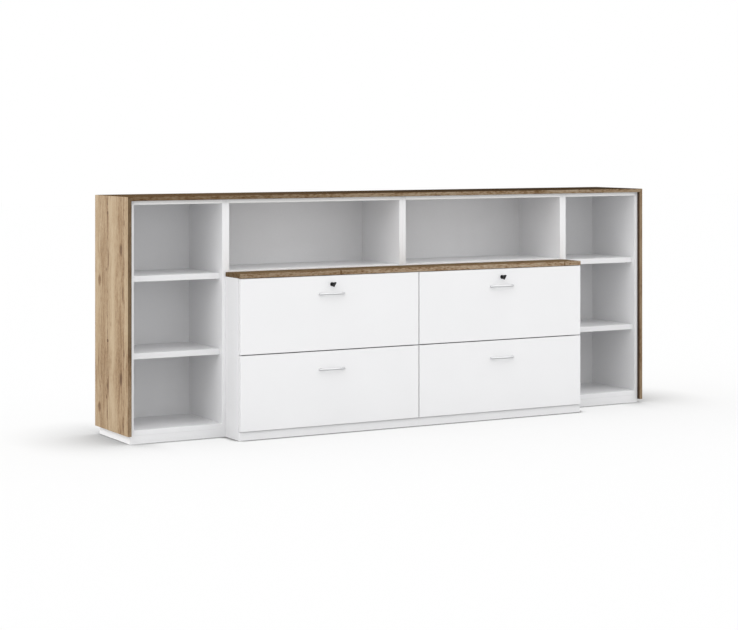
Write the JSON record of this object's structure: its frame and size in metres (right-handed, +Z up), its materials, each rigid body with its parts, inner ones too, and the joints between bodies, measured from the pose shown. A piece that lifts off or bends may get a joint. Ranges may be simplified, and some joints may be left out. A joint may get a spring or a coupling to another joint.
{
  "type": "office storage cabinet",
  "caption": "Low office storage wall: open bookcases and hanging-file drawer cabinets under a wood-look wrap, for binders, books and files.",
  "frame": {"origin": "bottom centre of the whole: on the floor, midway between the end panels, and midway between the keys' outer ends and the wrap's back edges", "axes": "+X along the long side, to the right as seen from the front; the drawers open towards -Y; +Z up"},
  "size_m": [3.038, 0.6044, 1.177],
  "materials": {
    "oak": "wood-look melamine, oak, satin",
    "white_board": "white melamine on chipboard, satin",
    "box_steel": "light grey powder coat",
    "runner_steel": "zinc plated",
    "pin_steel": "nickel plated",
    "handle_metal": "satin silver",
    "lock_black": "black, semi-gloss",
    "lock_steel": "nickel plated",
    "key_black": "black moulded grip on a steel blade"
  },
  "bodies": {
    "root": {"cabinet_left_back_panel": "white_board", "cabinet_left_bottom_board": "white_board", "cabinet_left_outer_runners": "runner_steel", "cabinet_left_plinth": "white_board", "cabinet_left_sides": "white_board", "cabinet_left_top_board": "white_board", "cabinet_right_back_panel": "white_board", "cabinet_right_bottom_board": "white_board", "cabinet_right_outer_runners": "runner_steel", "cabinet_right_plinth": "white_board", "cabinet_right_sides": "white_board", "cabinet_right_top_board": "white_board", "drawer_cover_board": "oak", "lock_strikes": "runner_steel", "shelf_pins": "pin_steel", "tall_left_back_panel": "white_board", "tall_left_bottom_board": "white_board", "tall_left_plinth": "white_board", "tall_left_shelves": "white_board", "tall_left_sides": "white_board", "tall_left_top_board": "white_board", "tall_right_back_panel": "white_board", "tall_right_bottom_board": "white_board", "tall_right_plinth": "white_board", "tall_right_shelves": "white_board", "tall_right_sides": "white_board", "tall_right_top_board": "white_board", "upper_left_back_panel": "white_board", "upper_left_bottom_board": "white_board", "upper_left_sides": "white_board", "upper_left_top_board": "white_board", "upper_right_back_panel": "white_board", "upper_right_bottom_board": "white_board", "upper_right_sides": "white_board", "upper_right_top_board": "white_board", "wrap_end_panel_left": "oak", "wrap_end_panel_right": "oak", "wrap_top_panel": "oak"},
    "drawer_left_lower": {"drawer_left_lower_front": "white_board", "drawer_left_lower_box": "box_steel", "drawer_left_lower_handle": "handle_metal"},
    "runners_left_lower": {"drawer_left_lower_middle_runners": "runner_steel"},
    "drawer_left_upper": {"drawer_left_upper_front": "white_board", "drawer_left_upper_box": "box_steel", "drawer_left_upper_handle": "handle_metal", "lock_left_housing": "lock_black"},
    "runners_left_upper": {"drawer_left_upper_middle_runners": "runner_steel"},
    "key_left": {"lock_left_plug_and_cam": "lock_steel", "lock_left_key": "key_black"},
    "drawer_right_lower": {"drawer_right_lower_front": "white_board", "drawer_right_lower_box": "box_steel", "drawer_right_lower_handle": "handle_metal"},
    "runners_right_lower": {"drawer_right_lower_middle_runners": "runner_steel"},
    "drawer_right_upper": {"drawer_right_upper_front": "white_board", "drawer_right_upper_box": "box_steel", "drawer_right_upper_handle": "handle_metal", "lock_right_housing": "lock_black"},
    "runners_right_upper": {"drawer_right_upper_middle_runners": "runner_steel"},
    "key_right": {"lock_right_plug_and_cam": "lock_steel", "lock_right_key": "key_black"}
  },
  "joints": [
    {"name": "drawer_left_lower_slide", "type": "slide", "parent": "root", "child": "drawer_left_lower", "axis": [0, -1, 0], "range_m": [0, 0.43]},
    {"name": "runners_left_lower_slide", "type": "slide", "parent": "root", "child": "runners_left_lower", "axis": [0, -1, 0], "range_m": [0, 0.215]},
    {"name": "drawer_left_upper_slide", "type": "slide", "parent": "root", "child": "drawer_left_upper", "axis": [0, -1, 0], "range_m": [0, 0.43]},
    {"name": "runners_left_upper_slide", "type": "slide", "parent": "root", "child": "runners_left_upper", "axis": [0, -1, 0], "range_m": [0, 0.215]},
    {"name": "key_left_turn", "type": "hinge", "parent": "drawer_left_upper", "child": "key_left", "pos_m": [-0.5, -0.26875, 0.7365], "axis": [0, 1, 0], "range_deg": [-30, 60]},
    {"name": "drawer_right_lower_slide", "type": "slide", "parent": "root", "child": "drawer_right_lower", "axis": [0, -1, 0], "range_m": [0, 0.43]},
    {"name": "runners_right_lower_slide", "type": "slide", "parent": "root", "child": "runners_right_lower", "axis": [0, -1, 0], "range_m": [0, 0.215]},
    {"name": "drawer_right_upper_slide", "type": "slide", "parent": "root", "child": "drawer_right_upper", "axis": [0, -1, 0], "range_m": [0, 0.43]},
    {"name": "runners_right_upper_slide", "type": "slide", "parent": "root", "child": "runners_right_upper", "axis": [0, -1, 0], "range_m": [0, 0.215]},
    {"name": "key_right_turn", "type": "hinge", "parent": "drawer_right_upper", "child": "key_right", "pos_m": [0.5, -0.26875, 0.7365], "axis": [0, 1, 0], "range_deg": [-30, 60]}
  ],
  "couplings": [
    {"joint": "runners_left_lower_slide", "follows": "drawer_left_lower_slide", "ratio": 0.5},
    {"joint": "runners_left_upper_slide", "follows": "drawer_left_upper_slide", "ratio": 0.5},
    {"joint": "runners_right_lower_slide", "follows": "drawer_right_lower_slide", "ratio": 0.5},
    {"joint": "runners_right_upper_slide", "follows": "drawer_right_upper_slide", "ratio": 0.5}
  ]
}
